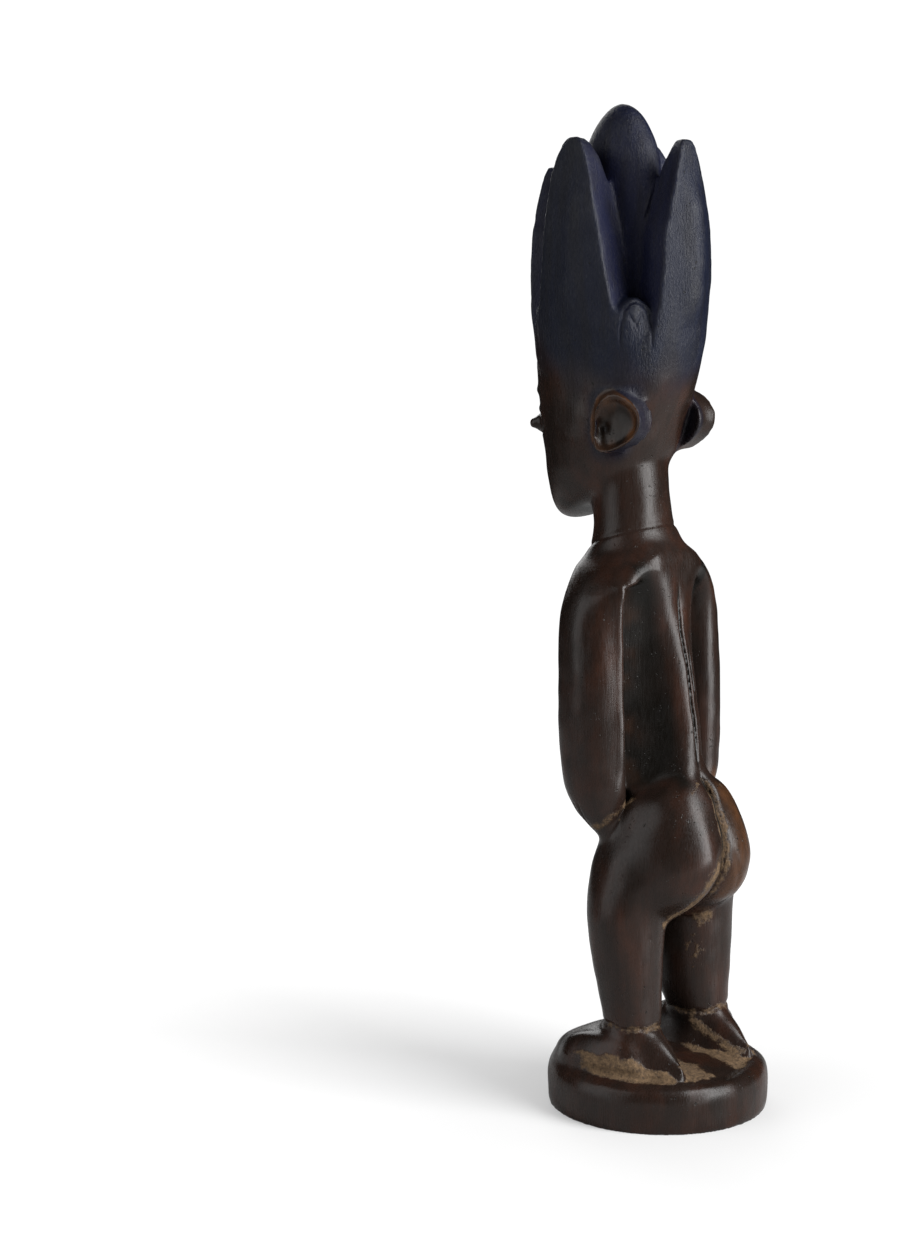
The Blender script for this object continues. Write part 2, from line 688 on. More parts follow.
def ear_reach(spots):
    """Nought in the middle of the ear and one at its outline, seen from the side."""
    back = ear_forward - spots[:, FORWARD]
    rise = spots[:, UP] - ear_up
    across = back * math.cos(EAR_LEAN) - rise * math.sin(EAR_LEAN)
    along = back * math.sin(EAR_LEAN) + rise * math.cos(EAR_LEAN)
    half_width = EAR_HALF[0] * (1 + EAR_WIDENS * along / EAR_HALF[1])
    return np.hypot(across / half_width, along / EAR_HALF[1])


print("ears at", [round(value * PART / MM, 1) for value in EAR], "mm")


# %% Model the ears
def outward_of(spots, facing):
    """How much the surface looks away from the body's middle plane."""
    return facing[:, LEFT] * np.sign(spots[:, LEFT])


def on_ear(spots, facing):
    return smooth_step(np.abs(spots[:, LEFT]), 5.4, 6.0) * smooth_step(outward_of(spots, facing), -0.1, 0.3)


EAR_ROOT = (6.2, ear_forward, ear_up)
EAR_ROOT_RADII = (2.2, 4.2, 4.6)
EAR_HOLE = ear_spot(-0.9, -0.9)

spots = folded(spots_of(figure))
in_bowl = (1 - smooth_step(ear_reach(spots), 0.72, 0.86)) * smooth_step(spots[:, LEFT], 4.8, 5.2)
in_bowl *= between(spots[:, FORWARD], -3, 6, 1)
relax(figure, rounds=160, weight=in_bowl)
from_ear = np.linalg.norm((spots - EAR_ROOT) / EAR_ROOT_RADII, axis=1)
around_rim = between(ear_reach(spots), 0.84, 1.25, 0.08) * smooth_step(spots[:, LEFT], 4.6, 5.0)
fair(figure, rounds=300, weight=around_rim * between(spots[:, FORWARD], -4, 6, 1))
outward = outward_of(spots_of(figure), facing_of(figure))
behind_ear = (1 - smooth_step(outward, 0.25, 0.55)) * (1 - smooth_step(from_ear, 0.95, 1.2))
behind_ear *= smooth_step(spots[:, LEFT], 4.2, 4.6)
relax(figure, rounds=70, weight=behind_ear)
relax(figure, rounds=14, weight=1 - smooth_step(from_ear, 0.8, 1.2))
swell(figure, centre=EAR_HOLE, radii=(1.6, 0.6, 0.8), height=-1.8, where=on_ear)
relax(figure, rounds=4, weight=1 - smooth_step(from_ear, 0.8, 1.2))
print("ears modelled on", int((from_ear < 1).sum()), "points")

# %% [markdown]
# The lobes of the hair.
# The hair stands up in lobes with deep notches between them. The lobes are rounder outside than the solid's
# flat ones, so a broad ridge is raised down the middle of the back lobe and of each side lobe. The head's
# middle lies HEAD_FORWARD parts ahead of the plinth's.

# %% Round the lobes
FROM_THE_SIDE = (FORWARD, UP)
HEAD_FORWARD = 6.4
BACK_LOBE = [(0.1, 0, 77), (0.1, 0, 92)]
SIDE_LOBE = [(0, HEAD_FORWARD, 77), (0, HEAD_FORWARD, 92)]


def looks_out(spots, facing):
    faces_out = smooth_step(outward_of(spots, facing), 0.3, 0.8)
    return faces_out * smooth_step(np.abs(spots[:, LEFT]), 3.5, 5)


groove(figure, BACK_LOBE, width=8.0, depth=-2.0, axes=FROM_BEHIND, where=on_back, taper=0.2)
groove(figure, SIDE_LOBE, width=9.0, depth=-0.8, axes=FROM_THE_SIDE, where=looks_out, taper=0.2)
print("three lobes rounded")

# %% [markdown]
# The buds in the notches.
# At the foot of each notch sits a small leaf in low relief with a thin arched rim. The rim is left by a cut
# that follows the arch a little inside it, and the leaf's middle is pressed flat. Each bud is measured in
# its own frame, across its face, outwards and up.


# %% A bud's own frame
def seen_from_bud(spots, ahead):
    """Spots as (across, outwards, up) for the bud that looks aside and ahead (1) or behind (-1)."""
    look_left, look_ahead = 0.6, 0.8 * ahead
    left, forward, up = folded(spots).T
    forward = forward - HEAD_FORWARD
    across = left * look_ahead - forward * look_left
    outwards = left * look_left + forward * look_ahead
    return np.stack([across, outwards, up], 1)


ACROSS_AND_UP = (0, 2)
BUD_ARCH = [(-1.5, 0, 74.5), (-1.55, 0, 77.0), (-1.2, 0, 78.8), (-0.6, 0, 79.5), (0, 0, 79.7),
            (0.6, 0, 79.5), (1.2, 0, 78.8), (1.55, 0, 77.0), (1.5, 0, 74.5)]
BUD_FOLD = [(-0.8, 0, 78.3), (-0.1, 0, 77.2), (0.6, 0, 78.5), (0.9, 0, 77.4)]
BUD_FOOT = (0, 8.0, 75.0)
BUD_FOOT_RADII = (3.2, 3.0, 3.4)
LEAF = (0, 77.4)
LEAF_RADII = (1.1, 1.9)
print("each bud is", BUD_ARCH[-1][0] * 2, "parts wide")

# %% Cut the buds
for bud_ahead in (1, -1):
    on_bud = seen_from_bud(spots_of(figure), bud_ahead)
    outer = smooth_step(on_bud[:, 1], 6.6, 7.2)
    from_foot = np.linalg.norm((on_bud - BUD_FOOT) / BUD_FOOT_RADII, axis=1)
    relax(figure, rounds=60, weight=(1 - smooth_step(from_foot, 0.7, 1.1)) * 0.9)
    on_bud = seen_from_bud(spots_of(figure), bud_ahead)
    push(figure, -0.5 * (egg(on_bud[:, ACROSS_AND_UP], LEAF, LEAF_RADII) * outer))
    push(figure, -0.5 * line_mask(on_bud, BUD_ARCH, 0.8, ACROSS_AND_UP) * outer)
    push(figure, -0.3 * line_mask(on_bud, BUD_FOLD, 0.7, ACROSS_AND_UP) * outer)
print("four buds cut")

# %% [markdown]
# The face.
# It can't be seen from behind, so it is a calm, generic one. Almond eyes are cut in above and below, under
# a raised lid and brow. Nostrils, a closed mouth, three short marks on each cheek and the edge of the hair
# follow. The grooves are projected onto the head from the front.

# %% Carve the eyes and brows
FROM_FRONT = (LEFT, UP)
EYE = (3.0, 67.0)
BROW = [(1.1, 0, 69.9), (2.6, 0, 70.8), (4.4, 0, 70.4)]


def on_face(spots, facing):
    return smooth_step(facing[:, FORWARD], 0.1, 0.4) * smooth_step(spots[:, FORWARD], 10.5, 12)


def eye_arc(rise, half_width, corner):
    """Half an egg's outline over the eye, or under it where rise is below zero, from corner to corner."""
    turns = np.linspace(corner, math.pi - corner, 9)
    return [(EYE[0] + half_width * math.cos(t), 0, EYE[1] + rise * math.sin(t)) for t in turns]


groove(figure, eye_arc(1.25, 2.1, 0.05), width=0.9, depth=0.4, axes=FROM_FRONT, where=on_face)
groove(figure, eye_arc(-1.15, 2.1, 0.2), width=0.8, depth=0.3, axes=FROM_FRONT, where=on_face)
groove(figure, eye_arc(1.75, 2.5, 0.1), width=1.3, depth=-0.3, axes=FROM_FRONT, where=on_face)
groove(figure, BROW, width=2.6, depth=-0.5, axes=FROM_FRONT, where=on_face)
print("eyes are", EYE[0] * 2, "parts apart")

# %% Carve the nose, mouth, cheeks and hair line
MOUTH_LEVEL = 61.4
MOUTH = [(-1.9, 0, MOUTH_LEVEL), (0, 0, MOUTH_LEVEL + 0.1), (1.9, 0, MOUTH_LEVEL)]
NOSTRIL = (1.25, HEAD_FORWARD + 9.2, 63.5)
CHEEK_FOOT = (4.6, 62.4)
CHEEK_TOP = (4.7, 64.4)
MARK_APART = 0.7
HAIR_LINE = [(6.4, 0, 71.6), (4.2, 0, 73.8), (2.0, 0, 74.8), (0, 0, 75.1), (-0.1, 0, 75.1)]

groove(figure, MOUTH, width=0.9, depth=0.5, axes=FROM_FRONT, where=on_face, both=False)
swell(figure, centre=NOSTRIL, radii=(0.45, 1.5, 0.3), height=-0.8)
for step in (-MARK_APART, 0, MARK_APART):
    mark = [(CHEEK_FOOT[0] + step, 0, CHEEK_FOOT[1]), (CHEEK_TOP[0] + step, 0, CHEEK_TOP[1])]
    groove(figure, mark, width=0.7, depth=0.35, axes=FROM_FRONT, where=on_face)
groove(figure, HAIR_LINE, width=1.4, depth=0.45, axes=FROM_FRONT, where=on_face, taper=0)
print("face carved")

# %% [markdown]
# Hands and feet.
# Fingers and toes are only suggested, by a few parallel cuts where the hands lie on the thighs and where
# the feet end over the plinth's edge.


# %% Cut the fingers
def on_hand(spots, facing):
    looks_ahead = smooth_step(outward_of(spots, facing) + facing[:, FORWARD], 0.3, 0.9)
    return smooth_step(np.abs(spots[:, LEFT]), 5.5, 6.5) * looks_ahead


FINGER_CUTS = 3
for step in range(FINGER_CUTS):
    finger = [(7, 3.0 + step * 0.9, 28.4), (7, 2.6 + step * 0.7, 25.6)]
    groove(figure, finger, width=0.8, depth=0.35, axes=FROM_THE_SIDE, where=on_hand)
print(FINGER_CUTS, "cuts on each hand")


# %% Cut the toes
def on_toes(spots, facing):
    return smooth_step(facing[:, UP] + facing[:, FORWARD], 0.2, 0.6) * smooth_step(spots[:, UP], 0.2, 0.5)


FROM_ABOVE = (LEFT, FORWARD)
TOE_CUTS = 4
for step in range(TOE_CUTS):
    toe = [(LEG_SPREAD - 2.0 + step * 1.32, 12, 0), (LEG_SPREAD - 1.7 + step * 1.15, 7.9, 0)]
    groove(figure, toe, width=1.0, depth=0.6, axes=FROM_ABOVE, where=on_toes)
print(TOE_CUTS, "cuts on each foot")

# %% [markdown]
# The plinth's lip.
# The upper edge of the plinth is a worn lip that wanders in and out. A shallow groove inside it makes it
# stand up a little.

# %% Cut the groove inside the lip
PLINTH_REACH = PLINTH_RADIUS / PART
LIP_INSET = 2.1
LIP_PATH = []
for t in np.linspace(0, 2 * math.pi, 61):
    radius = PLINTH_REACH - LIP_INSET + 0.35 * math.sin(3 * t + 0.6) + 0.2 * math.sin(7 * t)
    LIP_PATH.append((radius * math.sin(t), -radius * math.cos(t), 0.3))


def on_plinth_top(spots, facing):
    return smooth_step(facing[:, UP], 0.5, 0.8) * (1 - smooth_step(spots[:, UP], 0.8, 1.2))


groove(figure, LIP_PATH, width=3.2, depth=0.55, axes=FROM_ABOVE, where=on_plinth_top, taper=0, both=False)
print("lip's groove is", round((PLINTH_REACH - LIP_INSET) * PART / MM, 1), "mm from the middle")

# %% [markdown]
# The hand of the carver.
# A knife leaves a surface that is never quite true. Waves of two lengths, which are sums of sines in seeded
# directions, shift the skin by a few tenths of a millimetre at most. The underside stays flat, so that the
# figure stands.


# %% Waver the skin
def waves(points, length, seed, count=14):
    """Smooth seeded unrest, mostly between -1 and 1, with about the given wave length in metres."""
    dice = np.random.default_rng(seed)
    total = np.zeros(len(points))
    for _ in range(count):
        direction = dice.normal(size=3)
        direction /= np.linalg.norm(direction)
        turns = points @ direction * (2 * math.pi / length) * dice.uniform(0.7, 1.4)
        total += np.sin(turns + dice.uniform(0, 7))
    return total / math.sqrt(count)


GROUND_MARGIN = 0.35 * MM

points = points_of(figure)
above_ground = smooth_step(points[:, 2], 0.2 * MM, 3 * MM)
unrest = 0.15 * waves(points, length=24 * MM, seed=1) + 0.07 * waves(points, length=9 * MM, seed=2)
push(figure, unrest * above_ground)
points = points_of(figure)
points[points[:, 2] < GROUND_MARGIN, 2] = 0
set_points(figure, points)
print("wavered by up to", round(float(np.abs(unrest).max()), 2), "mm")

# %% [markdown]
# A lighter mesh.
# The skin now holds its forms but has far more squares than they need. A Decimate modifier in collapse
# mode thins it where it is flat and keeps small faces where it turns. The count stays under 200,000, the
# most that one piece may have here.

# %% Thin the skin
MOST_TRIANGLES = 190000
TRIANGLES_IN_A_SQUARE = 2
thin = figure.modifiers.new("thin", "DECIMATE")
thin.ratio = MOST_TRIANGLES / (len(figure.data.polygons) * TRIANGLES_IN_A_SQUARE)
settle(figure)
skin = figure.data
shape = bmesh.new()
shape.from_mesh(skin)
bmesh.ops.recalc_face_normals(shape, faces=shape.faces)
shape.to_mesh(skin)
shape.free()
skin.shade_smooth()
skin.calc_loop_triangles()
print("thinned to", len(skin.loop_triangles), "triangles")

# %% [markdown]
# What the wood remembers.
# Dust and old offerings stay in hollows, hands polish what stands out, and soot stays between arm and body,
# where nothing rubs it off. How deep each point lies and how much wood stands around it is measured once.
# From these and from its place come the masks for hair, dust, cracks, soot and warm wood, which are stored
# on the points as attributes for the material to read.

# %% Measure hollows and shelter
RAY_START = 0.4 * MM
LEAST_SLOPE = 0.15
SHELTER_LIMIT = 18 * MM


def sheltered(mesh, limit, rays=14):
    """The share of directions in which a point meets other wood within a limit."""
    wood_tree = BVHTree.FromPolygons([v.co for v in mesh.vertices], [p.vertices for p in mesh.polygons])
    turn = math.pi * (3 - math.sqrt(5))
    directions = []
    for i in range(rays * 2):
        height = 1 - (i + 0.5) / rays
        ring = math.sqrt(max(0, 1 - height * height))
        directions.append(Vector((ring * math.cos(turn * i), ring * math.sin(turn * i), height)))
    result = np.zeros(len(mesh.vertices))
    for vertex in mesh.vertices:
        normal = vertex.normal
        start = vertex.co + normal * RAY_START
        met = 0.0
        total = 0.0
        for direction in directions:
            slope = direction.dot(normal)
            if slope > LEAST_SLOPE:
                total += slope
                if wood_tree.ray_cast(start, direction, limit)[0] is not None:
                    met += slope
        result[vertex.index] = met / total
    return result


edges = edges_of(figure)
points = points_of(figure)
normals = normals_of(figure)


def depth_below(rounds, softening):
    """How far each point lies below its surroundings, in millimetres. More rounds look further around."""
    return blurred(((blurred(points, edges, rounds) - points) * normals).sum(1) / MM, edges, softening)


hollow = depth_below(rounds=10, softening=2)
wide_hollow = depth_below(rounds=60, softening=4)
shelter = blurred(sheltered(skin, SHELTER_LIMIT), edges, 3)
print("deepest hollow", round(float(hollow.max()), 2), "mm, most sheltered", round(float(shelter.max()), 2))

# %% Where each point is and which way it looks
unfolded = spots_of(figure)
spots = folded(unfolded)
side, ahead, level = spots.T
facing = facing_of(figure)
outward = outward_of(unfolded, facing)
looks_back = on_back(spots, facing)
around_ear = ear_reach(spots)
print(len(spots), "points,", int((looks_back > 0.5).sum()), "of them look back")

# %% [markdown]
# The indigo.
# The hair is rubbed with indigo, which runs out in a soft wavering edge above the brow and leaves a halo
# round each ear. The ear's own shell stays bare wood. Inside the notches the indigo is deeper, because
# nobody's hand gets there to rub it off.

# %% Place the ears' bare shells
SHELL_FOOT = 4.9
SHELL_RIM_RISE = 1.1

shell_foot = SHELL_FOOT + SHELL_RIM_RISE * smooth_step(around_ear, 0.8, 0.9)
on_shell = smooth_step(side, shell_foot - 0.1, shell_foot + 0.2) * (1 - smooth_step(around_ear, 1.0, 1.1))
on_shell *= smooth_step(outward, 0.0, 0.4)
print("shells on", int((on_shell > 0.5).sum()), "points")

# %% Place the hair's indigo
HAIR_EDGE = 71.5
HAIR_EDGE_RISE = 2.5
HAIR_EDGE_WAVER = 0.9
EAR_WAVER = 0.12

hair_edge = HAIR_EDGE + HAIR_EDGE_RISE * smooth_step(ahead, 6, 12)
hair_edge += HAIR_EDGE_WAVER * waves(points, length=16 * MM, seed=5)
hair = smooth_step(level, hair_edge - 2.5, hair_edge + 3.5)
halo_reach = around_ear + EAR_WAVER * waves(points, length=9 * MM, seed=8)
halo = 0.8 * (1 - smooth_step(halo_reach, 1.0, 1.5)) * (1 - on_shell)
halo *= smooth_step(level, 62, 65) * smooth_step(side, 3, 4.5)
halo *= np.where(points[:, 0] > 0, 1, 1 - smooth_step(side, 4.0, 4.6))
hair = np.maximum(hair, halo) * (1 - on_shell)
print("hair on", int((hair > 0.5).sum()), "points")

# %% Find the insides of the notches
CORE_RADII = (3.5, 6.4)
LEAST_LENGTH = 0.01

from_hair_axis = np.stack([unfolded[:, LEFT], ahead - HEAD_FORWARD], 1)
axis_distance = np.maximum(np.linalg.norm(from_hair_axis, axis=1), LEAST_LENGTH)
outwards = (facing[:, :2] * from_hair_axis).sum(1) / axis_distance
level_facing = np.maximum(np.linalg.norm(facing[:, :2], axis=1), LEAST_LENGTH)
on_flank = (1 - smooth_step(outwards / level_facing, 0.5, 0.85)) * (1 - smooth_step(facing[:, UP], 0.6, 0.9))
core_reach = np.hypot(side / CORE_RADII[0], (ahead - HEAD_FORWARD) / CORE_RADII[1])
in_core = 1 - smooth_step(core_reach, 1.05, 1.2)
inside = np.maximum(on_flank, in_core * (1 - 0.5 * smooth_step(level, 92, 98))) * smooth_step(level, 76, 79)
inside = blurred(inside, edges, 4)
print("insides of the notches on", int((inside > 0.5).sum()), "points")

# %% [markdown]
# The dust.
# Pale ochre dust has settled where a cloth doesn't reach: on the plinth round the feet and up the outer
# sides of the feet, in the folds of the hips and thighs, at the crotch and down the inside of the right leg.
# Soot and dirt lie higher up instead, so the dust thins out above the waist. Each mask is multiplied by how
# thickly the dust lies there, up to one.

# %% Place the dust on the plinth and the feet
FOOT_LINE = [(LEG_SPREAD, -7.4, 0), (LEG_SPREAD, -2.0, 0), (LEG_SPREAD + 0.6, 7.0, 0)]

on_plinth = smooth_step(facing[:, UP], 0.3, 0.7) * (1 - smooth_step(level, 1.3, 2.2))
on_plinth *= smooth_step(level, -0.5, 0.0)
from_axis = np.hypot(side, ahead)
inside_lip = 1 - smooth_step(from_axis, PLINTH_REACH - 2.4, PLINTH_REACH - 1.4)
from_foot, _ = distance_to(spots, FOOT_LINE, FROM_ABOVE)
dust_reach = from_foot + 0.25 * waves(points, length=8 * MM, seed=6)
foot_dust = on_plinth * (1 - smooth_step(dust_reach, 3.4, 4.4)) * inside_lip
patch_top = 2.5 - 0.04 * (ahead + 0.8) ** 2 + 0.2 * waves(points, length=9 * MM, seed=9)
outer_patch = smooth_step(side, 4.8, 6.0) * (1 - smooth_step(level, patch_top - 0.25, patch_top + 0.25))
outer_patch *= smooth_step(level, -0.2, 0.2)
outer_patch *= between(ahead, -8.5, 4.8, 1.2) * (1 - smooth_step(from_axis, 10.2, 10.7))
print("dust on the plinth and feet on", int((np.maximum(foot_dust, outer_patch) > 0.5).sum()), "points")

# %% Place the dust in hollows and along lines
HAND_CREVICE = [(5.2, -1.1, 29.2), (6.5, -0.5, 28.3), (7.8, 0.1, 27.0), (8.3, 1.6, 25.9), (8.2, 3.0, 25.3)]
WAIST_LINE = [(0.9, 0, 30.6), (2.0, 0, 29.9), (3.0, 0, 29.4)]
INNER_FOOT = [(2.7, -1.6, 4.2), (3.2, -3.9, 2.8), (4.2, -7.0, 1.1), (6.2, -8.0, 0.6)]
SEAM_DUST_ASIDE = 0.45
CROTCH = (-2.9, -3.6, 15.2)
INNER_LEG = (-3.0, -2.4, 11.5)

low = 1 - smooth_step(level, 30, 33)
seam_dust = smooth_step(hollow, 0.06, 0.2) * (0.15 + 0.85 * low) * (1 - hair)
deep_dust = smooth_step(wide_hollow, 0.35, 0.9) * low * 0.8
beside_seam = [(left + SEAM_DUST_ASIDE, forward, up) for left, forward, up in BUTTOCK_SEAM]
dust_lines = np.max([
    line_mask(spots, ANKLE_RING, 2.4, taper=0) * 0.8,
    line_mask(spots, HAND_CREVICE, 3.0) * 0.9,
    line_mask(spots, WAIST_LINE, 1.6, FROM_BEHIND) * 0.6 * looks_back,
    line_mask(unfolded, THIGH_FOLD, 5.2) * 0.95,
    line_mask(unfolded, CRESCENT, 0.9) * 0.7,
    line_mask(spots, INNER_FOOT, 3.4) * 0.9,
    line_mask(spots, beside_seam, 2.2, FROM_BEHIND) * 0.75 * looks_back,
], axis=0)
crotch = egg(unfolded, CROTCH, (1.7, 1.5, 1.2)) * 0.85
inner_leg = egg(unfolded, INNER_LEG, (1.3, 1.7, 3.2)) * 0.5
dust = np.max([seam_dust, deep_dust, foot_dust, outer_patch, dust_lines, crotch, inner_leg], axis=0)
print("dust on", int((dust > 0.5).sum()), "points")

# %% [markdown]
# Cracks, soot and warm wood.
# The cracks that were cut are dark inside. The hollow between each arm and the back is black with soot, with
# an olive tinge along its outer side. The ears' shells and the right buttock are rubbed to a warmer brown.

# %% Place the cracks
cracks = np.max([
    line_mask(unfolded, SPINE_SPLIT, 0.8, FROM_BEHIND, 0.1),
    line_mask(unfolded, SPINE_HAIRLINE, 0.6, FROM_BEHIND, 0.2),
    line_mask(unfolded, BUTTOCK_SEAM, 1.1, FROM_BEHIND, 0.1),
    line_mask(unfolded, ARM_CRACK, 0.8),
], axis=0) * looks_back
print("cracks on", int((cracks > 0.5).sum()), "points")

# %% Place the soot
RECESS_SIDES = (1.2, 1.4, 2.6, 3.6)
OLIVE_SIDE = 4.9
OLIVE_WIDTH = 0.9
OLIVE_CLEARS = 0.4

from_crest = side - np.interp(level, CREST_LEVELS, RECESS_SIDES)
recess = between(level, 30.5, 52.5, 1.0) * smooth_step(from_crest, 0.1, 1.1)
recess *= 1 - smooth_step(side, 5.45, 5.7)
recess *= smooth_step(-facing[:, FORWARD], 0.1, 0.4)
recess_soot = recess * (0.92 + 0.12 * waves(points, length=14 * MM, seed=11))
soot = np.maximum(recess_soot, smooth_step(shelter, 0.3, 0.75) * 0.8)
soot *= 1 - 0.75 * on_shell
olive = bell((side - OLIVE_SIDE) / OLIVE_WIDTH) * recess
olive *= smooth_step(waves(points, length=11 * MM, seed=14), -0.3, 0.8)
soot *= 1 - OLIVE_CLEARS * olive
bowl_reach = around_ear + EAR_WAVER * waves(points, length=5 * MM, seed=15)
bowl_soot = on_shell * (1 - smooth_step(bowl_reach, 0.45, 0.75))
soot = np.maximum(soot, 0.7 * bowl_soot)
print("soot on", int((soot > 0.5).sum()), "points")

# %% Place the warm wood
SHELL_WARMTH = 0.75
BUTTOCK_WARMTH = 0.6
OLIVE_WARMTH = 0.22

shell_warmth = on_shell * (SHELL_WARMTH + 0.3 * waves(points, length=6 * MM, seed=12))
shell_warmth *= 1 - 0.6 * bowl_soot
right_buttock = looks_back * between(unfolded[:, LEFT], -8, -1.5, 1) * between(level, 19, 29, 2)
warm = np.maximum(shell_warmth, BUTTOCK_WARMTH * right_buttock)
warm = np.maximum(warm, OLIVE_WARMTH * olive)
print("warm wood on", int((warm > 0.5).sum()), "points")


# %% Store the masks on the skin
def store(name, values):
    attribute = skin.attributes.new(name, "FLOAT", "POINT")
    attribute.data.foreach_set("value", np.clip(values, -1, 1).astype(np.float32))


masks = {
    "hollow": hollow,
    "hair": hair,
    "inside": inside,
    "dust": dust,
    "soot": soot,
    "crack": cracks,
    "warm": warm,
}
for name, values in masks.items():
    store(name, values)
print(len(masks), "masks stored")

# %% [markdown]
# The finish.
# The wood is dark brown, nearly black where it is sheltered and reddish where hands rubbed it. The hair is
# rubbed with indigo, which is dull on the outside and deep blue in the notches. Effects are node groups
# with named inputs and outputs, so each can be read and changed by itself, and the shader stays outside.


# %% Node helpers
def new_group(name, inputs, outputs):
    """An empty shader group. Inputs and outputs are name and socket kind."""
    group = bpy.data.node_groups.new(name, "ShaderNodeTree")
    for label, kind in inputs:
        group.interface.new_socket(label, in_out="INPUT", socket_type=kind)
    for label, kind in outputs:
        group.interface.new_socket(label, in_out="OUTPUT", socket_type=kind)
    start = group.nodes.new("NodeGroupInput")
    end = group.nodes.new("NodeGroupOutput")
    return group, start, end


def noise(tree, vector, scale, detail=4, roughness=0.6):
    node = tree.nodes.new("ShaderNodeTexNoise")
    node.inputs["Scale"].default_value = scale
    node.inputs["Detail"].default_value = detail
    node.inputs["Roughness"].default_value = roughness
    tree.links.new(vector, node.inputs["Vector"])
    return node.outputs["Fac"]


def stretched(tree, vector, scale):
    node = tree.nodes.new("ShaderNodeMapping")
    node.inputs["Scale"].default_value = scale
    tree.links.new(vector, node.inputs["Vector"])
    return node.outputs["Vector"]


def reach(tree, value, low, high, out_low=0.0, out_high=1.0):
    """Maps a value from one range to another and clamps it."""
    node = tree.nodes.new("ShaderNodeMapRange")
    for label, number in (("From Min", low), ("From Max", high), ("To Min", out_low), ("To Max", out_high)):
        node.inputs[label].default_value = number
    tree.links.new(value, node.inputs["Value"])
    return node.outputs["Result"]


def math_node(tree, operation, first, second):
    node = tree.nodes.new("ShaderNodeMath")
    node.operation = operation
    for socket, value in zip(node.inputs, (first, second)):
        if isinstance(value, (int, float)):
            socket.default_value = value
        else:
            tree.links.new(value, socket)
    return node.outputs["Value"]


def blend(tree, factor, under, over):
    """Colour over on colour under by a factor. Each colour is a socket or three numbers."""
    node = tree.nodes.new("ShaderNodeMix")
    node.data_type = "RGBA"
    for label, value in (("Factor", factor), ("A", under), ("B", over)):
        socket = node.inputs[label]
        if isinstance(value, tuple):
            socket.default_value = (*value, 1)
        elif isinstance(value, (int, float)):
            socket.default_value = value
        else:
            tree.links.new(value, socket)
    return node.outputs["Result"]


print("node helpers ready")

# %% [markdown]
# Grain, dust and pits.
# The grain is noise that is stretched upwards, because the block's fibres run up the figure. Dust is the
# mask from the skin, broken up by noise so that its edge is uneven. Pits are small holes, which a second,
# larger noise keeps to a few places. Lengths are in metres, so a scale of 1000 gives spots of about 1 mm.

# %% Long grain
grain_group, start, end = new_group(
    "long_grain", [("Vector", "NodeSocketVector")],
    [("Fibres", "NodeSocketFloat"), ("Speckle", "NodeSocketFloat"), ("Bands", "NodeSocketFloat")])
long_fibres = stretched(grain_group, start.outputs["Vector"], (1, 1, 0.07))
short_fibres = stretched(grain_group, start.outputs["Vector"], (1, 1, 0.3))
broad_bands = stretched(grain_group, start.outputs["Vector"], (1, 1, 0.12))
fibre = noise(grain_group, long_fibres, scale=2600, detail=3)
speckle = noise(grain_group, short_fibres, scale=2200, detail=3, roughness=0.7)
band = noise(grain_group, broad_bands, scale=260)
grain_group.links.new(fibre, end.inputs["Fibres"])
grain_group.links.new(speckle, end.inputs["Speckle"])
grain_group.links.new(band, end.inputs["Bands"])
print(grain_group.name, "ready")

# %% Dust in hollows
dust_group, start, end = new_group(
    "settled_dust", [("Vector", "NodeSocketVector"), ("Dust", "NodeSocketFloat")],
    [("Mask", "NodeSocketFloat"), ("Grains", "NodeSocketFloat"), ("Patches", "NodeSocketFloat")])
patchy = noise(dust_group, start.outputs["Vector"], scale=420, detail=5, roughness=0.7)
grains = noise(dust_group, start.outputs["Vector"], scale=1700, detail=3, roughness=0.8)
patches = noise(dust_group, start.outputs["Vector"], scale=900, detail=5, roughness=0.8)
edge = math_node(dust_group, "ADD", start.outputs["Dust"], reach(dust_group, patchy, 0.3, 0.7, -0.45, 0.3))
mask = reach(dust_group, edge, 0.38, 0.8)
dust_group.links.new(mask, end.inputs["Mask"])
dust_group.links.new(patches, end.inputs["Patches"])
dust_group.links.new(math_node(dust_group, "MULTIPLY", mask, grains), end.inputs["Grains"])
print(dust_group.name, "ready")

# %% Pits and nicks
pit_group, start, end = new_group("pits", [("Vector", "NodeSocketVector")], [("Mask", "NodeSocketFloat")])
sparse = noise(pit_group, start.outputs["Vector"], scale=260, detail=2)
small = noise(pit_group, start.outputs["Vector"], scale=1100, detail=2)
few_places = reach(pit_group, sparse, 0.55, 0.62)
small_holes = reach(pit_group, small, 0.64, 0.70)
pit_group.links.new(math_node(pit_group, "MULTIPLY", few_places, small_holes), end.inputs["Mask"])
print(pit_group.name, "ready")

# %% The wood's material
wood = bpy.data.materials.new("indigo_and_handled_wood")
wood.use_nodes = True
tree = wood.node_tree
shader = tree.nodes["Principled BSDF"]
coordinates = tree.nodes.new("ShaderNodeTexCoord").outputs["Object"]
skin.materials.clear()
skin.materials.append(wood)


def stored(name):
    node = tree.nodes.new("ShaderNodeAttribute")
    node.attribute_name = name
    return node.outputs["Fac"]


def use_group(group, **links):
    node = tree.nodes.new("ShaderNodeGroup")
    node.node_tree = group
    for label, socket in links.items():
        tree.links.new(socket, node.inputs[label])
    return node


hollow_value = stored("hollow")
hair_value = stored("hair")
soot_value = stored("soot")
grain = use_group(grain_group, Vector=coordinates)
settled = use_group(dust_group, Vector=coordinates, Dust=stored("dust"))
pits = use_group(pit_group, Vector=coordinates)
clouds = noise(tree, coordinates, scale=38)
red_clouds = noise(tree, stretched(tree, coordinates, (1, 1, 0.45)), scale=90)
print(wood.name, "reads three groups")

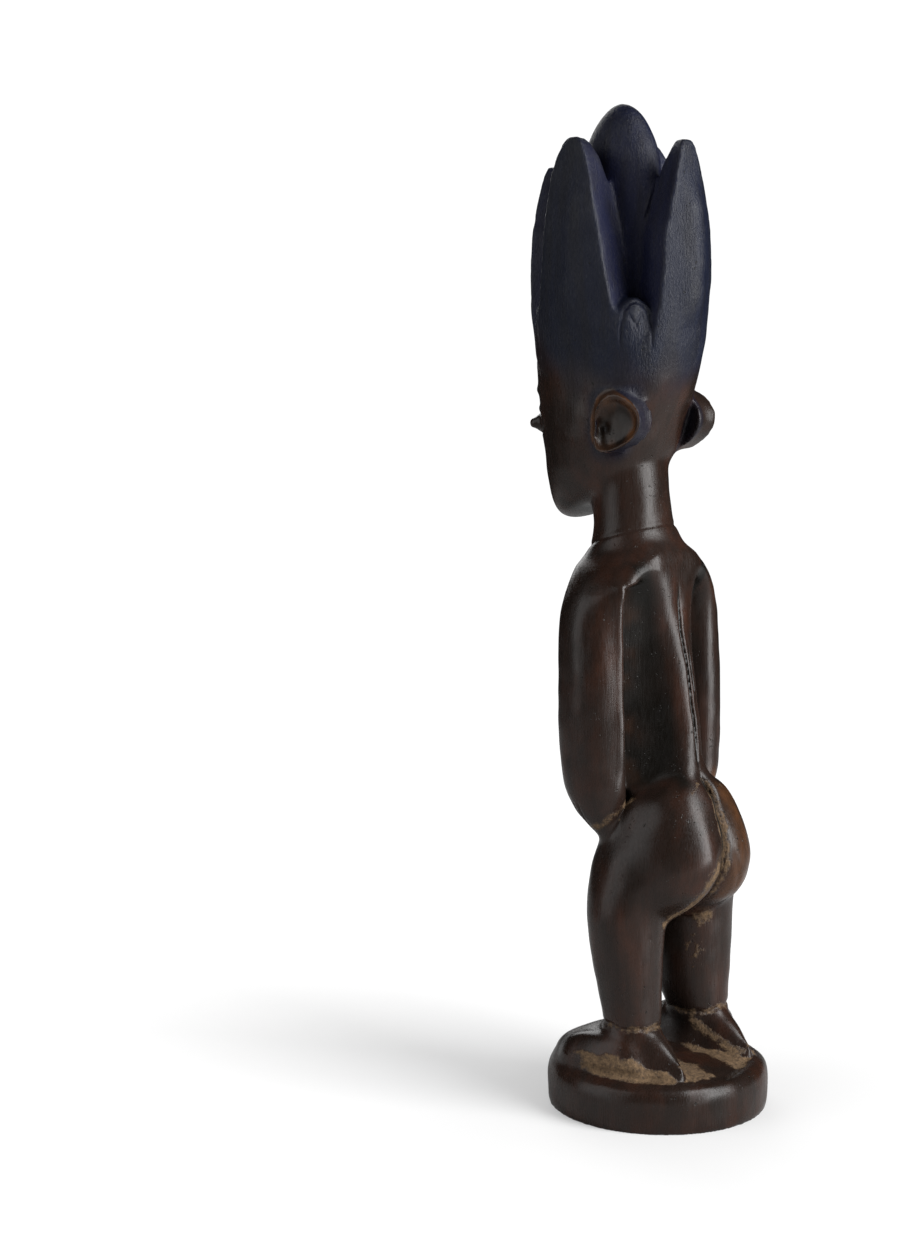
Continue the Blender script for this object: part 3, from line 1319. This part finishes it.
# %% Mix the bare wood's colour
BROWN = (0.019, 0.0108, 0.0082)
RED_BROWN = (0.043, 0.0150, 0.0080)
NEAR_BLACK = (0.0042, 0.0032, 0.0022)
WARM_BROWN = (0.12, 0.050, 0.018)
MOST_RED = 0.75
MOST_BLACK = 0.55

skin_color = blend(tree, reach(tree, red_clouds, 0.45, 0.7, 0, MOST_RED), BROWN, RED_BROWN)
skin_color = blend(tree, reach(tree, clouds, 0.45, 0.7, 0, MOST_BLACK), skin_color, NEAR_BLACK)
warm_share = math_node(tree, "MULTIPLY", stored("warm"), reach(tree, red_clouds, 0.35, 0.6, 0.2, 0.9))
skin_color = blend(tree, warm_share, skin_color, WARM_BROWN)
skin_color = blend(tree, soot_value, skin_color, NEAR_BLACK)
print("bare wood mixed from four colours")

# %% Mix the hair's colour
HAIR_OUTSIDE = (0.0028, 0.0050, 0.0165)
HAIR_INSIDE = (0.0032, 0.0046, 0.0230)
HAIR_WORN = (0.036, 0.038, 0.045)
MOST_WEAR = 0.5
MOST_SPECKLE = 0.3

hair_color = blend(tree, stored("inside"), HAIR_OUTSIDE, HAIR_INSIDE)
raised = reach(tree, hollow_value, -0.02, -0.16)
worn = math_node(tree, "MULTIPLY", raised, reach(tree, grain.outputs["Speckle"], 0.42, 0.62))
hair_color = blend(tree, reach(tree, worn, 0, 1, 0, MOST_WEAR), hair_color, HAIR_WORN)
speckles = reach(tree, grain.outputs["Speckle"], 0.55, 0.72, 0, MOST_SPECKLE)
hair_color = blend(tree, speckles, hair_color, HAIR_WORN)
print("hair mixed from three colours")

# %% Lay bands, dust and dark lines over both
OCHRE_LIGHT = (0.18, 0.115, 0.062)
OCHRE_DARK = (0.045, 0.028, 0.016)
MOST_BANDS = 0.35

color = blend(tree, hair_value, skin_color, hair_color)
color = blend(tree, reach(tree, grain.outputs["Bands"], 0.42, 0.62, 0, MOST_BANDS), color, NEAR_BLACK)
ochre = blend(tree, reach(tree, settled.outputs["Patches"], 0.35, 0.65), OCHRE_DARK, OCHRE_LIGHT)
color = blend(tree, settled.outputs["Mask"], color, ochre)
dark_lines = math_node(tree, "MAXIMUM", reach(tree, stored("crack"), 0.15, 0.6), pits.outputs["Mask"])
color = blend(tree, dark_lines, color, NEAR_BLACK)
tree.links.new(color, shader.inputs["Base Color"])
print("colour linked")

# %% [markdown]
# Gloss and relief.
# Handled wood is smooth where it stands out, and dust is dull. Roughness carries that, while the specular
# level is one number on the shader, because it is the same all over. The finest relief, such as fibres and
# the speckle of the hair, is too small for the mesh, so a Bump node shades it.

# %% Gloss
POLISHED = 0.24
FIBROUS = 0.38
RUBBED_SMOOTHER = 0.08
SOOT_DULLER = 0.06
HAIR_DULLER = 0.15
DUST_ROUGHNESS = 0.85
SPECULAR_LEVEL = 0.28

gloss = reach(tree, grain.outputs["Fibres"], 0.35, 0.65, POLISHED, FIBROUS)
gloss = math_node(tree, "SUBTRACT", gloss, reach(tree, hollow_value, -0.04, -0.2, 0, RUBBED_SMOOTHER))
gloss = math_node(tree, "ADD", gloss, reach(tree, soot_value, 0, 1, 0, SOOT_DULLER))
gloss = math_node(tree, "ADD", gloss, reach(tree, hair_value, 0, 1, 0, HAIR_DULLER))
gloss = math_node(tree, "MAXIMUM", gloss, reach(tree, settled.outputs["Mask"], 0, 1, 0, DUST_ROUGHNESS))
tree.links.new(gloss, shader.inputs["Roughness"])
shader.inputs["Specular IOR Level"].default_value = SPECULAR_LEVEL
print("roughness from", round(POLISHED - RUBBED_SMOOTHER, 2), "to", DUST_ROUGHNESS)

# %% Fine relief
FIBRE_HEIGHT = 0.3
SKIN_SPECKLE_HEIGHT = 0.15
HAIR_SPECKLE_HEIGHT = 2.4
DUST_HEIGHT = 2.5
RELIEF_STRENGTH = 0.6
RELIEF_DEPTH = 0.2 * MM

fibres = math_node(tree, "MULTIPLY", grain.outputs["Fibres"], FIBRE_HEIGHT)
speckle_height = reach(tree, hair_value, 0, 1, SKIN_SPECKLE_HEIGHT, HAIR_SPECKLE_HEIGHT)
rough_hair = math_node(tree, "MULTIPLY", grain.outputs["Speckle"], speckle_height)
height = math_node(tree, "ADD", fibres, rough_hair)
dust_grains = math_node(tree, "MULTIPLY", settled.outputs["Grains"], DUST_HEIGHT)
height = math_node(tree, "ADD", height, dust_grains)
height = math_node(tree, "SUBTRACT", height, pits.outputs["Mask"])
relief = tree.nodes.new("ShaderNodeBump")
relief.inputs["Strength"].default_value = RELIEF_STRENGTH
relief.inputs["Distance"].default_value = RELIEF_DEPTH
tree.links.new(height, relief.inputs["Height"])
tree.links.new(relief.outputs["Normal"], shader.inputs["Normal"])
print(wood.name, "has", len(tree.nodes), "nodes")

# %% Hand the piece over
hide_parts(FIGURE_NODE)
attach(figure, "root")
